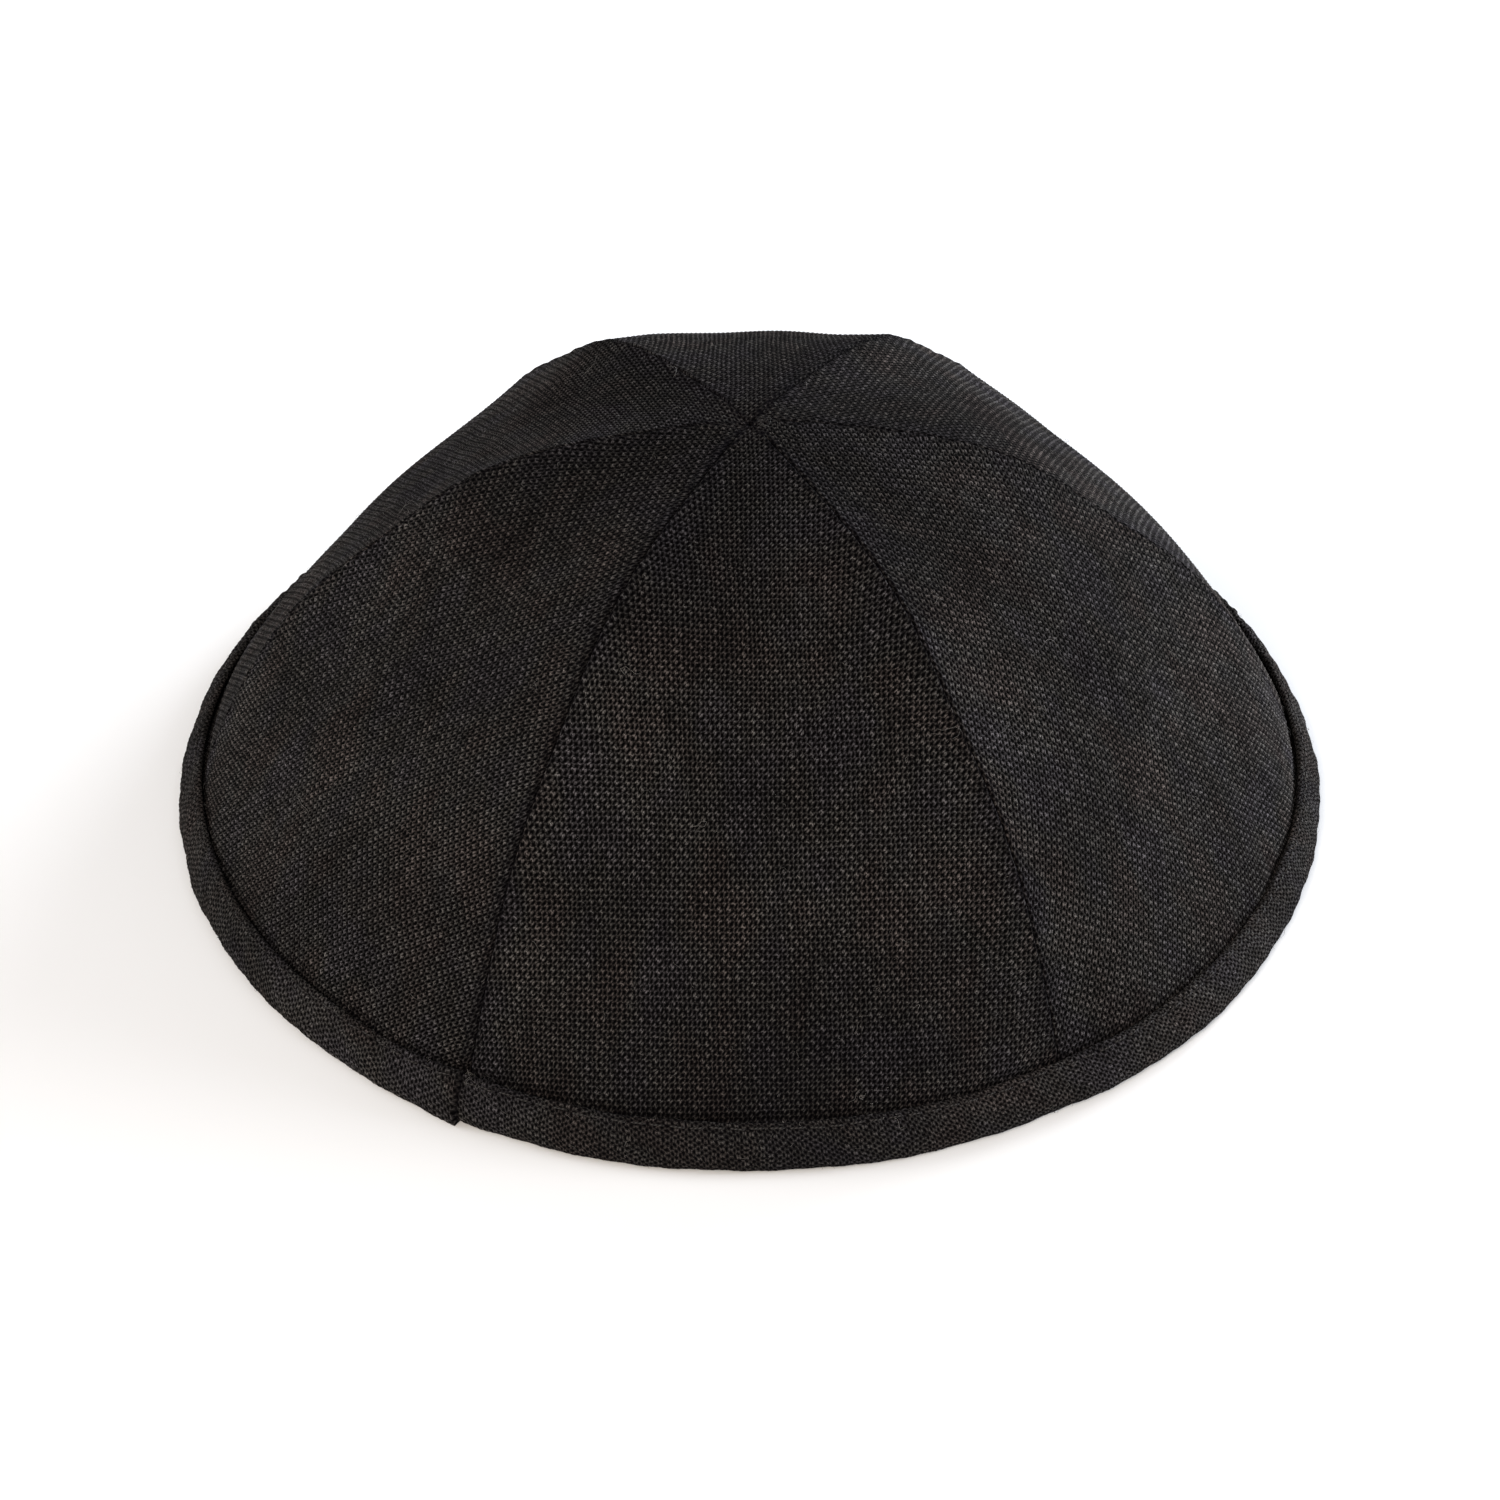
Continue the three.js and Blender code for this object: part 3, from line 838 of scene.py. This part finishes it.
def fibres_mesh(name):
    """Loose fibres on the cloth, most of them short and a few long and curly, and the frayed tufts at the
    crown, at the foot of the front panel and at the lap."""
    random = np.random.default_rng(FIBRE_SEED)
    tubes = []
    for index, (panel, row) in enumerate(PANELS.items()):
        dome = Dome(index, row["fullness"])
        for count, *fibre in FIBRE_ROWS:
            t = dome.bottom * np.sqrt(random.uniform(0.01, 0.9, (count, 1)))
            s = random.uniform(-0.95, 0.95, (count, 1)) * dome.widths(t)[0]
            tubes.append(fibre_tubes(random, on_panel(dome), s, t, *fibre))
        for count, across, down, spread in TUFTS.get(panel, ()):
            t = down + random.normal(0, spread, (count, 1))
            s = across * dome.widths(t)[0] + random.normal(0, spread, (count, 1))
            tubes.append(fibre_tubes(random, on_panel(dome), s, t, *TUFT_FIBRE))
    for count, *fibre in BINDING_FIBRE_ROWS:
        x = random.uniform(0, 2 * np.pi * RIM_RADIUS, (count, 1))
        y = OUTER_LENGTH * random.uniform(0.05, 1, (count, 1)) ** 1.5
        tubes.append(fibre_tubes(random, on_binding(), x, y, *fibre))
    count, x, y, spread = LAP_TUFT
    x, y = x + random.normal(0, spread, (count, 1)), y + random.normal(0, spread / 2, (count, 1))
    tubes.append(fibre_tubes(random, on_binding(), x, y, *TUFT_FIBRE))
    paths, radii, away = (np.concatenate(part) for part in zip(*tubes))
    return tubes_mesh(name, paths, radii, away, FIBRE_SIDES)


def on_panel(dome):
    """A function that gives points of a panel's face from millimetres across, down and above it."""
    def place(s, t, rise):
        t = np.clip(t, 1, dome.length_at_binding - 0.5)
        left, right = dome.widths(t)
        across = np.clip(np.where(s < 0, s / left, s / right), -0.99, 0.99)
        return dome.point(across, dome.along(dome.fallen(t, across)), -rise, 0.0)
    return place


def on_binding():
    """A function that gives points of the binding's face from millimetres along, down and above it."""
    *section, length = binding_section()

    def place(x, y, rise):
        y = np.clip(y, 0.3, OUTER_LENGTH - 1)
        radius, height, normal_r, normal_z = (np.interp(y, length, values) for values in section)
        angle = np.radians(LAP_AZIMUTH) + x / RIM_RADIUS
        r = radius + rise * normal_r
        return np.stack([r * np.sin(angle), -r * np.cos(angle), height + rise * normal_z], -1)
    return place


def fibre_tubes(random, place, s, t, longest, curl, lift, thick):
    """Centre lines, radii and outward directions of fibres that start at places on the cloth. Each one's
    heading turns along it by a bend and one wave, and its middle lifts off the cloth."""
    count = len(t)
    heading = random.uniform(0, 2 * np.pi, (count, 1))
    bend, wave = random.normal(0, curl, (2, count, 1))
    length = longest * random.uniform(0.3, 1, (count, 1))
    share = np.linspace(0, 1, FIBRE_POINTS)[None, :]
    angle = heading + bend * share + wave * np.sin(2 * np.pi * share)
    s = s + np.cumsum(np.cos(angle), 1) * length / FIBRE_POINTS
    t = t + np.cumsum(np.sin(angle), 1) * length / FIBRE_POINTS
    rise = -0.08 + lift * random.uniform(0.3, 1, (count, 1)) * np.sin(np.pi * share * 0.8) ** 2
    paths = place(s, t, rise)
    return paths, thick * (1 - 0.6 * share) * np.ones((count, 1)), place(s, t, rise + 1) - paths


def new_object(mesh, material, nodes=()):
    """A piece made of a mesh, on the root body, and in place of the rigid nodes it stands for."""
    piece = bpy.data.objects.new(mesh.name, mesh)
    bpy.context.scene.collection.objects.link(piece)
    piece.data.materials.append(material)
    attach(piece, "root")
    if nodes:
        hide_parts(*nodes)
    return piece


def add_node(tree, kind, inputs, **settings):
    """A node with its settings and its inputs, each by name or number: a socket to link, or a constant."""
    node = tree.nodes.new(kind)
    for key, value in settings.items():
        setattr(node, key, value)
    for key, value in inputs.items():
        if isinstance(value, bpy.types.NodeSocket):
            tree.links.new(value, node.inputs[key])
        else:
            node.inputs[key].default_value = value
    return node


def calculate(tree, operation, *values):
    """The result of one mathematical step on sockets or constants."""
    return add_node(tree, "ShaderNodeMath", dict(enumerate(values)), operation=operation).outputs[0]


def times(tree, first, second):
    """The product of two sockets or constants."""
    return calculate(tree, "MULTIPLY", first, second)


def ease(tree, value, start, end, low, high):
    """A value's way from start to end, eased at both ends, as a number from low to high."""
    inputs = {"Value": value, "From Min": start, "From Max": end, "To Min": low, "To Max": high}
    return add_node(tree, "ShaderNodeMapRange", inputs, interpolation_type="SMOOTHSTEP").outputs["Result"]


def blend(tree, share, first, second):
    """A value between two, from the first at a share of 0 to the second at 1."""
    inputs = {"Factor": share, "A": first, "B": second}
    return add_node(tree, "ShaderNodeMix", inputs, data_type="FLOAT").outputs[0]


def noise(tree, x, y, z, detail):
    """A soft noise, around a half, at a place given by three numbers."""
    place = add_node(tree, "ShaderNodeCombineXYZ", {"X": x, "Y": y, "Z": z}).outputs[0]
    inputs = {"Vector": place, "Scale": 1, "Detail": detail, "Roughness": 0.5}
    return add_node(tree, "ShaderNodeTexNoise", inputs).outputs[0]


def yarn_heights(tree, u, v, warp_half, weft_half):
    """Heights of the warp and the weft at a place counted in yarns. A yarn's centre line is a cosine, half
    a wave for each yarn that it crosses, and its section is half of an ellipse."""
    column, row = calculate(tree, "FLOOR", u), calculate(tree, "FLOOR", v)
    heights = []
    for across, along, line, half, lead, stand in (
            (u, v, column, warp_half, -0.5, WARP_STAND), (v, u, row, weft_half, 0.5, WEFT_STAND)):
        place = calculate(tree, "SUBTRACT", along, calculate(tree, "FLOOR", along))
        slant = calculate(tree, "MULTIPLY_ADD", place, YARN_SLANT, -0.5 * YARN_SLANT)
        count = calculate(tree, "ADD", calculate(tree, "ADD", along, line), lead)
        wave = calculate(tree, "COSINE", times(tree, count, np.pi))
        from_line = calculate(tree, "SUBTRACT", across, line)
        off = calculate(tree, "ADD", from_line, calculate(tree, "SUBTRACT", slant, 0.5))
        distance = calculate(tree, "ABSOLUTE", calculate(tree, "DIVIDE", off, half))
        under = calculate(tree, "SUBTRACT", 1, calculate(tree, "POWER", distance, 2))
        section = times(tree, calculate(tree, "SQRT", calculate(tree, "MAXIMUM", under, 0)), stand)
        heights.append(calculate(tree, "MULTIPLY_ADD", wave, YARN_SWING, section))
    return heights


def pore_cover(tree, u, v, darkness):
    """1 on the yarns and painted shade in the gap at each corner between four crossings: a bell that is
    long along one diagonal, because the yarns' twist closes the gap on its other sides."""
    off_u = calculate(tree, "SUBTRACT", u, calculate(tree, "ROUND", u))
    off_v = calculate(tree, "SUBTRACT", v, calculate(tree, "ROUND", v))
    short = calculate(tree, "DIVIDE", calculate(tree, "ADD", off_u, off_v), PORE_WIDTH)
    long = calculate(tree, "DIVIDE", calculate(tree, "SUBTRACT", off_u, off_v), PORE_LENGTH)
    squares = calculate(tree, "MULTIPLY_ADD", short, short, times(tree, long, long))
    gap = calculate(tree, "EXPONENT", times(tree, squares, -1))
    return calculate(tree, "SUBTRACT", 1, times(tree, gap, darkness))


def crooked(tree, u, v, z):
    """How far the yarns wander sideways, in yarns: a noise about two yarns wide."""
    wander = noise(tree, times(tree, u, 0.5), times(tree, v, 0.5), z, 1)
    return calculate(tree, "MULTIPLY_ADD", wander, YARN_WANDER, -0.5 * YARN_WANDER)


def weave_group():
    """Plain weave on a UV map counted in yarns: the higher of two crossing yarns shows, with a painted
    highlight on its crown, the gaps between them are painted dark as shade, and each yarn has its own
    tone, which wanders along it."""
    tree = bpy.data.node_groups.new("plain_weave", "ShaderNodeTree")
    for name, kind in (("Yarns", "Vector"), ("Yarn Colour", "Color"), ("Painted Shade Colour", "Color"),
                       ("Pore Painted Shade", "Float"), ("Weft Share", "Float")):
        tree.interface.new_socket(name, in_out="INPUT", socket_type="NodeSocket" + kind)
    for name, kind in (("Colour", "Color"), ("Roughness", "Float"), ("Height", "Float")):
        tree.interface.new_socket(name, in_out="OUTPUT", socket_type="NodeSocket" + kind)
    given = tree.nodes.new("NodeGroupInput").outputs
    place = add_node(tree, "ShaderNodeSeparateXYZ", {0: given["Yarns"]}).outputs
    u = calculate(tree, "ADD", place[0], crooked(tree, place[0], place[1], LAYERS["warp_wander"]))
    v = calculate(tree, "ADD", place[1], crooked(tree, place[0], place[1], LAYERS["weft_wander"]))

    column, row = calculate(tree, "FLOOR", u), calculate(tree, "FLOOR", v)
    warp_tone = noise(tree, times(tree, column, TONE_STEP), times(tree, v, TONE_RUN), LAYERS["warp_tone"], 2)
    weft_tone = noise(tree, times(tree, u, TONE_RUN), times(tree, row, TONE_STEP), LAYERS["weft_tone"], 2)
    warp_half = calculate(tree, "MULTIPLY_ADD", warp_tone, WARP_HALF[1], WARP_HALF[0])
    weft_half = calculate(tree, "MULTIPLY_ADD", weft_tone, WEFT_HALF[1], WEFT_HALF[0])
    warp, weft = yarn_heights(tree, u, v, warp_half, weft_half)
    height = calculate(tree, "MAXIMUM", warp, weft)
    warp_up = ease(tree, calculate(tree, "SUBTRACT", warp, weft), -0.12, 0.12, 0, 1)

    fibre = fibre_grain(tree, u, v, warp_up)
    # Painted light: the colour is lighter on the yarns' crowns, a painted highlight, and darker down their
    # sides and in the pores, painted shade; the weft floats are painted darker than the warp
    cover = pore_cover(tree, u, v, given["Pore Painted Shade"])
    shade = times(tree, ease(tree, height, 0.15, 1.40, 0, 1), cover)
    share = blend(tree, warp_up, given["Weft Share"], 1.0)
    light = times(tree, calculate(tree, "POWER", shade, SHADE_POWER), share)
    tone = blend(tree, warp_up, weft_tone, warp_tone)
    light = uneven(tree, light, tone, fibre, (u, v), (column, row))

    yarn = add_node(tree, "ShaderNodeMix", {0: 1.0, 6: given["Yarn Colour"], 7: tint_patches(tree, u, v)},
                    data_type="RGBA", blend_type="MULTIPLY").outputs[2]
    colour = add_node(tree, "ShaderNodeMix", {0: light, 6: given["Painted Shade Colour"], 7: yarn},
                      data_type="RGBA", clamp_factor=False).outputs[2]
    made = add_node(tree, "NodeGroupOutput", {
        "Colour": colour,
        "Roughness": ease(tree, fibre, 0.2, 0.8, 0.95, 0.70),
        "Height": calculate(tree, "MULTIPLY_ADD", fibre, 0.25, height),
    })
    made.is_active_output = True
    return tree


def uneven(tree, light, tone, fibre, place, crossing):
    """The yarns' painted light made uneven by their tone, the grain of their fibres, chance from crossing
    to crossing, and broad patches of the cloth. The crossing is given as its column and row."""
    u, v = place
    column, row = crossing
    light = times(tree, light, ease(tree, tone, 0.32, 0.68, *TONE_LIGHT))
    light = times(tree, light, ease(tree, fibre, 0.32, 0.68, *FIBRE_LIGHT_RANGE))
    cell = add_node(tree, "ShaderNodeCombineXYZ", {"X": column, "Y": row, "Z": 0.0}).outputs[0]
    chance = add_node(tree, "ShaderNodeTexWhiteNoise", {"Vector": cell}).outputs["Value"]
    light = times(tree, light, calculate(tree, "MULTIPLY_ADD", chance, CHANCE_LIGHT[1], CHANCE_LIGHT[0]))
    broad = noise(tree, times(tree, u, BROAD_SCALE[0]), times(tree, v, BROAD_SCALE[1]), LAYERS["broad"], 2)
    return times(tree, light, ease(tree, broad, 0.3, 0.7, *BROAD_LIGHT))


def fibre_grain(tree, u, v, warp_up):
    """The grain of the fibres in the yarn on top: a noise that is fine across the yarn and long along it."""
    warp = noise(tree, times(tree, u, FIBRES_ACROSS), times(tree, v, FIBRES_ALONG), LAYERS["warp_fibre"], 2)
    weft = noise(tree, times(tree, u, FIBRES_ALONG), times(tree, v, FIBRES_ACROSS), LAYERS["weft_fibre"], 2)
    return blend(tree, warp_up, weft, warp)


def tint_patches(tree, u, v):
    """Faint cool, green and warm patches of the cloth, as a colour to multiply by."""
    patch = noise(tree, times(tree, u, TINT_SCALE[0]), times(tree, v, TINT_SCALE[1]), LAYERS["tint"], 2)
    tint = add_node(tree, "ShaderNodeValToRGB", {0: patch})
    ramp = tint.color_ramp
    cool, green, warm = TINTS
    ramp.elements[0].position, ramp.elements[0].color = cool
    ramp.elements[1].position, ramp.elements[1].color = warm
    ramp.elements.new(green[0]).color = green[1]
    return tint.outputs[0]


def new_material(name):
    """A new material, with its node tree and its shader."""
    material = bpy.data.materials.new(name)
    material.use_nodes = True
    tree = material.node_tree
    return material, tree, tree.nodes["Principled BSDF"]


def linen_material(name, weave, yarn_colour, pore_painted_shade, weft_share):
    """Matt black linen: the weave's colour, roughness and relief, under a faint fuzz."""
    material, tree, shader = new_material(name)
    yarns = add_node(tree, "ShaderNodeUVMap", {}, uv_map="yarns").outputs[0]
    group = add_node(tree, "ShaderNodeGroup", {}, node_tree=weave)
    tree.links.new(yarns, group.inputs["Yarns"])
    group.inputs["Yarn Colour"].default_value = yarn_colour
    group.inputs["Painted Shade Colour"].default_value = PORE_SHADE_COLOUR
    group.inputs["Pore Painted Shade"].default_value = pore_painted_shade
    group.inputs["Weft Share"].default_value = weft_share
    # Painted shade from the mesh's attribute darkens the weave's colour towards the painted shade colour
    shade = add_node(tree, "ShaderNodeAttribute", {}, attribute_name="painted_shade").outputs["Fac"]
    shaded = add_node(tree, "ShaderNodeMix", {0: shade, 6: PAINTED_SHADE_COLOUR, 7: group.outputs["Colour"]},
                      data_type="RGBA").outputs[2]
    tree.links.new(shaded, shader.inputs["Base Color"])
    tree.links.new(group.outputs["Roughness"], shader.inputs["Roughness"])
    bump = add_node(tree, "ShaderNodeBump", {
        "Strength": 1.0, "Distance": YARN_RELIEF * MM, "Height": group.outputs["Height"]})
    tree.links.new(bump.outputs[0], shader.inputs["Normal"])
    shader.inputs["Specular IOR Level"].default_value = 0.003
    shader.inputs["Sheen Weight"].default_value = 0.007
    shader.inputs["Sheen Roughness"].default_value = 0.45
    shader.inputs["Sheen Tint"].default_value = (1, 0.98, 0.98, 1)
    return material


def thread_material(name):
    """Black sewing thread: two plies that wind round each other, with painted shade between them."""
    material, tree, shader = new_material(name)
    place = add_node(tree, "ShaderNodeUVMap", {}, uv_map="yarns").outputs[0]
    inputs = {"Vector": place, "Scale": 0.8, "Distortion": 0.6, "Detail": 2.0}
    wave = add_node(tree, "ShaderNodeTexWave", inputs, wave_type="BANDS",
                    bands_direction="DIAGONAL").outputs["Fac"]
    colour = add_node(tree, "ShaderNodeMix", {0: wave, 6: THREAD_DARK, 7: THREAD_LIGHT},
                      data_type="RGBA").outputs[2]
    bump = add_node(tree, "ShaderNodeBump", {"Strength": 0.8, "Distance": 0.05 * MM, "Height": wave})
    tree.links.new(colour, shader.inputs["Base Color"])
    tree.links.new(ease(tree, wave, 0, 1, 0.85, 0.6), shader.inputs["Roughness"])
    tree.links.new(bump.outputs[0], shader.inputs["Normal"])
    shader.inputs["Specular IOR Level"].default_value = 0.1
    return material


def fibre_material(name):
    """Loose linen fibres: worn grey to nearly black, by a noise wider than a fibre."""
    material, tree, shader = new_material(name)
    place = add_node(tree, "ShaderNodeTexCoord", {}).outputs["Object"]
    patch = add_node(tree, "ShaderNodeTexNoise", {"Vector": place, "Scale": 180, "Detail": 2}).outputs[0]
    worn = ease(tree, patch, 0.35, 0.7, 0, 1)
    colour = add_node(tree, "ShaderNodeMix", {0: worn, 6: FIBRE_DARK, 7: FIBRE_LIGHT},
                      data_type="RGBA").outputs[2]
    tree.links.new(colour, shader.inputs["Base Color"])
    tree.links.new(ease(tree, patch, 0.3, 0.7, 0.8, 0.55), shader.inputs["Roughness"])
    shader.inputs["Specular IOR Level"].default_value = 0.2
    return material


def out_towards(azimuth, elevation):
    """A unit vector from the axis towards an azimuth and an elevation in degrees."""
    turn, rise = np.radians(azimuth), np.radians(elevation)
    return Vector((np.sin(turn) * np.cos(rise), -np.cos(turn) * np.cos(rise), np.sin(rise)))


def look_back(thing, centre, out, distance):
    """Puts a camera or a light at a distance out from a centre and turns it to face that centre."""
    bpy.context.scene.collection.objects.link(thing)
    thing.location = centre + out * distance
    thing.rotation_mode = "QUATERNION"
    thing.rotation_quaternion = (-out).to_track_quat("-Z", "Y")


def make_camera():
    """The camera at the photograph's angle: aimed a little above the rim's middle."""
    data = bpy.data.cameras.new("camera")
    data.sensor_width = SENSOR_WIDTH
    data.lens = SENSOR_WIDTH * PIXELS_PER_MM * CAMERA_DISTANCE / PICTURE_PIXELS
    camera = bpy.data.objects.new("camera", data)
    out = out_towards(CAMERA_AZIMUTH, CAMERA_ELEVATION)
    look_back(camera, Vector((0, 0, CAMERA_AIM * MM)), out, CAMERA_DISTANCE * MM)
    bpy.context.scene.camera = camera


def make_floor_and_light():
    """A plain pale floor, an even sky and the softboxes."""
    mesh = bpy.data.meshes.new("floor")
    corners = [(x * FLOOR_REACH, y * FLOOR_REACH, 0) for x, y in ((-1, -1), (1, -1), (1, 1), (-1, 1))]
    mesh.from_pydata(corners, [], [(0, 1, 2, 3)])
    floor = bpy.data.objects.new("floor", mesh)
    bpy.context.scene.collection.objects.link(floor)
    material, _, shader = new_material("floor_paint")
    shader.inputs["Base Color"].default_value = FLOOR_COLOUR
    shader.inputs["Roughness"].default_value = 0.9
    floor.data.materials.append(material)
    world = bpy.data.worlds.new("sky")
    bpy.context.scene.world = world
    world.use_nodes = True
    world.node_tree.nodes["Background"].inputs["Color"].default_value = SKY_COLOUR
    world.node_tree.nodes["Background"].inputs["Strength"].default_value = SKY_STRENGTH
    bpy.context.scene.view_settings.view_transform = "Standard"
    for name, row in SOFTBOXES.items():
        softbox(name, **row)


def softbox(name, azimuth, elevation, size, power, colour):
    """A square area light that faces the cap from an azimuth and an elevation in degrees."""
    data = bpy.data.lights.new(name, "AREA")
    data.shape = "SQUARE"
    data.size = size
    data.energy = power
    data.color = colour
    light = bpy.data.objects.new(name, data)
    look_back(light, Vector((0, 0, 0)), out_towards(azimuth, elevation), SOFTBOX_DISTANCE)


weave = weave_group()
linen = linen_material("linen_panel", weave, YARN_COLOUR, pore_painted_shade=1.0, weft_share=0.45)
for index, (name, row) in enumerate(PANELS.items()):
    mesh = panel_mesh("linen_" + name, index, **row)
    piece = new_object(mesh, linen, [name])
    flat, area = Dome(index, row["fullness"]).flat_size()
linen_binding = linen_material("linen_binding", weave, BINDING_COLOUR, pore_painted_shade=0.75, weft_share=0.75)
binding = new_object(binding_mesh("linen_rim_binding"), linen_binding, ["rim_binding"])
thread = thread_material("black_thread")
new_object(stitches_mesh("rim_stitches"), thread)
fibre = fibre_material("linen_fibre")
new_object(fibres_mesh("loose_fibres"), fibre)
make_camera()
make_floor_and_light()
